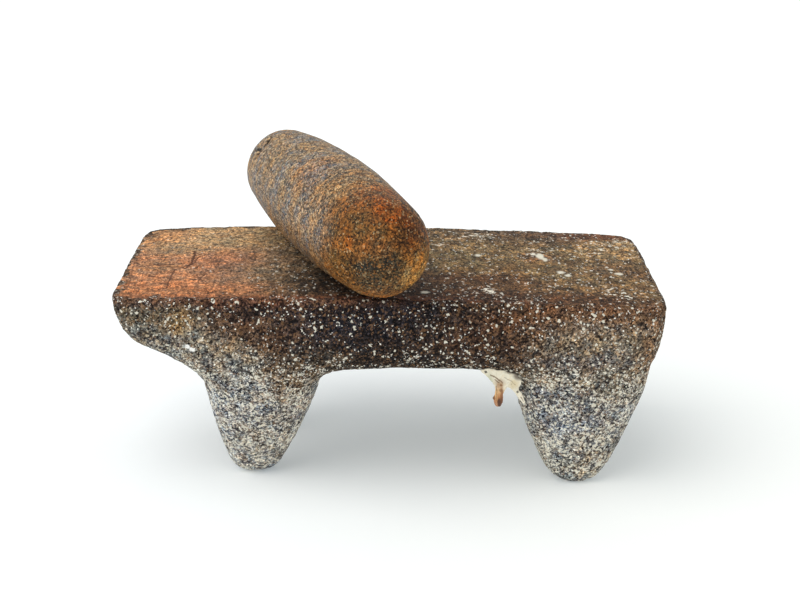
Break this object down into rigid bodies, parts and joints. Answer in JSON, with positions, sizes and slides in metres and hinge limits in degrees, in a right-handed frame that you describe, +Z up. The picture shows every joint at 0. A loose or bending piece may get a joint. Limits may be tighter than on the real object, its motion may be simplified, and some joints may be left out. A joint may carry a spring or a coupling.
{
  "type": "saddle quern with handstone",
  "caption": "Legged stone slab for grinding grain, worn flat on top, with a long stone roller lying across it.",
  "frame": {"origin": "centre of the footprint of the whole object's box, on the ground", "axes": "+Z up, +X along the slab towards its square end with the flush legs, -Y out of the front face that the picture shows"},
  "size_m": [0.354, 0.2798, 0.2074],
  "materials": {
    "quern_stone": "rough vesicular volcanic stone with pale mineral flecks, the grinding face rubbed smooth and rust-brown at one end, sooty along the front rim",
    "handstone_stone": "fine-grained stone rubbed smooth, mottled rust-orange, ochre and grey-brown",
    "dried_remnant": "dry papery crust, cream above and brown at its hanging tip"
  },
  "bodies": {
    "root": {"quern": "quern_stone", "handstone": "handstone_stone", "dried_remnant": "dried_remnant"}
  },
  "joints": []
}
